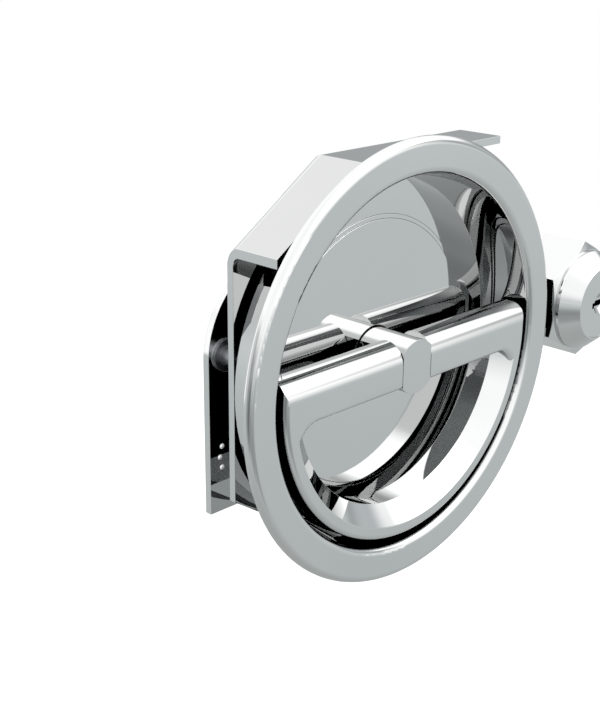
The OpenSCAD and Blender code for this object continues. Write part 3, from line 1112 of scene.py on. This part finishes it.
@dataclass
class FoldingHandle(Assembly):
    """The D handle with its spindle and hinge pin.

    Attributes:
        bar_drop: How far the crossbar reaches below the axis, in metres.
        corner: The radius of the handle's upper corners.
        edge: The rounding of its outer edges.
        rim: The width of its flat front rim.
        slope: How far the slope inside the rim reaches inwards.
        slope_depth: How deep the slope reaches.
        window_corner: The radius of the window's corners.
        lip: The rounding of the window's front edge at the rim.
        bar_lip: Its rounding at the crossbar.
        spindle_flats: The distance between the spindle's flats.
        slot_gap: The gap between the spindle and the slot.
        bore_gap: The gap round the hinge pin.
        bore_reach: How far the hinge bore reaches from the middle.
        over: How far a cut reaches past what it cuts.
        skin: How far the outline lies outside the turned disc.
    """

    bar_drop: float = 6.3 * MM
    corner: float = 1.5 * MM
    edge: float = 2.0 * MM
    rim: float = 4.5 * MM
    slope: float = 6.6 * MM
    slope_depth: float = 6.0 * MM
    window_corner: float = 9.0 * MM
    lip: float = 0.45 * MM
    bar_lip: float = 1.6 * MM
    spindle_flats: float = 13.8 * MM
    slot_gap: float = 0.25 * MM
    bore_gap: float = 0.05 * MM
    bore_reach: float = 19.45 * MM
    over: float = 1.0 * MM
    skin: float = 0.001 * MM

    def dress(self) -> None:
        """Polish the handle and the spindle; the pin is plated."""
        self.dress_nodes(self.finishes.polished, ("handle", "spindle"))
        self.dress_nodes(self.finishes.plated, ("hinge_pin",))

    def window(self, radius: float, thickness: float) -> Solid:
        """Return the window's solid: a slope inside the rim, straight at the crossbar.

        Args:
            radius: The window's radius at the front.
            thickness: The handle's thickness.

        Returns:
            The solid to cut away.
        """
        inner, over, back = radius - self.slope, self.over, thickness + self.over
        lean = math.degrees(math.atan2(self.slope, self.slope_depth))
        reach = self.lip / math.tan(math.radians((90.0 + lean) / 2))
        lip = arc((radius + reach, self.lip), self.lip, 270.0, 270.0 - lean, 5)
        cone = Solid.turned([
            (0.0, -over), (radius + reach, -over), *lip,
            (inner, self.slope_depth), (inner, back), (0.0, back),
        ])
        rounding = arc((0.0, self.bar_lip), self.bar_lip, 270.0, 360.0, 10)
        insets = [(self.bar_lip, -over), *((self.bar_lip - x, y) for x, y in rounding), (0.0, back)]
        layers = []
        for inset, y in insets:
            layers.append((y, d_outline(radius + over + inset, inset - self.bar_drop, self.window_corner)))
        return cone.combine(Solid.stacked(layers), Combine.COMMON)

    def blank(self, radius: float, thickness: float, top: float) -> Solid:
        """Return the handle without its window, slot and bore.

        Args:
            radius: The handle's radius.
            thickness: Its thickness.
            top: The height of the crossbar's crown.

        Returns:
            A disc with round edges, full corners and a crown about the hinge.
        """
        half, edge, back = thickness / 2, self.edge, thickness + self.over
        disc = Solid.turned([
            (0.0, 0.0), *arc((radius - edge, edge), edge, 270.0, 360.0, 10),
            *arc((radius - edge, thickness - edge), edge, 0.0, 90.0, 10), (0.0, thickness),
        ])
        outline = d_outline(radius + self.skin, top + self.skin, self.corner)
        disc.combine(Solid.stacked([(-self.over, outline), (back, outline)]), Combine.COMMON)
        pivot, below = top - half, -2 * radius
        crown = arc((half, pivot), half, 0.0, 180.0, 60)
        section = [*crown, (-self.over, pivot), (-self.over, below), (back, below), (back, pivot)]
        return disc.combine(Solid.along_x(2 * radius, section), Combine.COMMON)

    def build(self) -> None:
        """Shape the handle as the photograph shows it: full corners and a rounded window edge."""
        low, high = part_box("handle")
        radius, thickness, top = high[0], high[1] - low[1], high[2]
        handle = self.blank(radius, thickness, top)
        handle.combine(self.window(radius - self.rim, thickness), Combine.CUT)
        front, back = -self.over, thickness + self.over
        foot, head = -self.bar_drop - self.over, top + self.over
        block = [(front, foot), (front, head), (back, head), (back, foot)]
        slot = Solid.along_x(self.spindle_flats / 2 + self.slot_gap, block)
        handle.combine(slot, Combine.CUT)
        pin_low, pin_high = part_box("hinge_pin")
        pin = (pin_high[2] - pin_low[2]) / 2 + self.bore_gap
        bore = arc((thickness / 2, top - thickness / 2), pin, 0.0, 360.0, 32)[:-1]
        handle.combine(Solid.along_x(self.bore_reach, bore), Combine.CUT)
        handle.finish("folding_handle", self.finishes.polished, "grip", "handle")


@dataclass
class Mounting(Assembly):
    """The bracket and the rear plate, with what holds them together.

    Attributes:
        stud_radius: The studs' radius, in metres.
        thread_pitch: The pitch of their threads.
        end_depth: How deep the points of a stud's end may lie below its farthest one.
    """

    stud_radius: float = 2.0 * MM
    thread_pitch: float = 0.45 * MM
    end_depth: float = 0.01 * MM

    def dress(self) -> None:
        """Polish the two sheets; studs, spacers, washers and nuts are plated."""
        self.dress_nodes(self.finishes.polished, ("front_bracket", "rear_plate"))
        self.dress_nodes(self.finishes.plated, ("weld_studs", "spacers", "stud_washers", "stud_nuts"))

    def places(self) -> tuple[tuple[float, float], ...]:
        """Return X and Z of the studs, read from the far ends of their meshes."""
        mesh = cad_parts["weld_studs"].data
        far = max(vertex.co.y for vertex in mesh.vertices)
        ends = [vertex.co for vertex in mesh.vertices if vertex.co.y > far - self.end_depth]
        groups: list[list[Vector]] = []
        reach = 3 * self.stud_radius
        for end in ends:
            near = [group for group in groups if (group[0] - end).length < reach]
            if near:
                near[0].append(end)
            else:
                groups.append([end])
        middles = []
        for group in groups:
            low = [min(point[axis] for point in group) for axis in (0, 2)]
            high = [max(point[axis] for point in group) for axis in (0, 2)]
            middles.append(((low[0] + high[0]) / 2, (low[1] + high[1]) / 2))
        return tuple(middles)

    def build(self) -> None:
        """Cut the threads on the free ends of the studs."""
        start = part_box("stud_nuts")[1][1] + self.thread_pitch / 2
        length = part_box("weld_studs")[1][1] - self.thread_pitch / 2 - start
        ThreadMaker(self.finishes.plated).build(ThreadSpec(
            "stud_threads", "frame", self.places(), self.stud_radius, start, length, self.thread_pitch,
        ))


@dataclass
class CamDrive(Assembly):
    """The cam, its bushes and what holds it on the spindle."""

    def dress(self) -> None:
        """The cam, its washer and its clip are plated; the bushes are bronze."""
        self.dress_nodes(self.finishes.plated, ("cam", "thrust_washer", "circlip"))
        self.dress_nodes(self.finishes.bronze, ("front_bush", "rear_bush"))


@dataclass
class CamLock(Assembly):
    """The cam lock beside the ring.

    Attributes:
        barrel_radius: The threaded barrel's radius, in metres.
        thread_pitch: The pitch of its thread.
    """

    barrel_radius: float = 11.0 * MM
    thread_pitch: float = 1.0 * MM

    def dress(self) -> None:
        """Polish the housing and the plug; the parts behind the bracket are plated."""
        self.dress_nodes(self.finishes.polished, ("lock_housing", "lock_plug"))
        self.dress_nodes(self.finishes.plated, ("lock_nut", "lock_cam", "lock_washer", "lock_screw"))

    def build(self) -> None:
        """Cut the thread on the free end of the barrel."""
        low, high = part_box("lock_nut")
        start = high[1] + self.thread_pitch / 2
        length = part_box("lock_housing")[1][1] - self.thread_pitch / 2 - start
        axis = ((low[0] + high[0]) / 2, (low[2] + high[2]) / 2)
        ThreadMaker(self.finishes.plated).build(ThreadSpec(
            "barrel_thread", "frame", (axis,), self.barrel_radius, start, length, self.thread_pitch,
        ))


def main() -> None:
    """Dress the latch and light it."""
    logging.basicConfig(level=logging.INFO, format="%(message)s")
    finishes = Finishes()
    for assembly in (TrimRing, FoldingHandle, Mounting, CamDrive, CamLock):
        part = assembly(finishes)
        part.dress()
        part.build()
    studio = Studio()
    bpy.context.scene.world = studio.world()
    studio.floor()
    PhotoCamera().build()
    bpy.context.scene.view_settings.view_transform = "Standard"


if __name__ == "__main__":
    main()
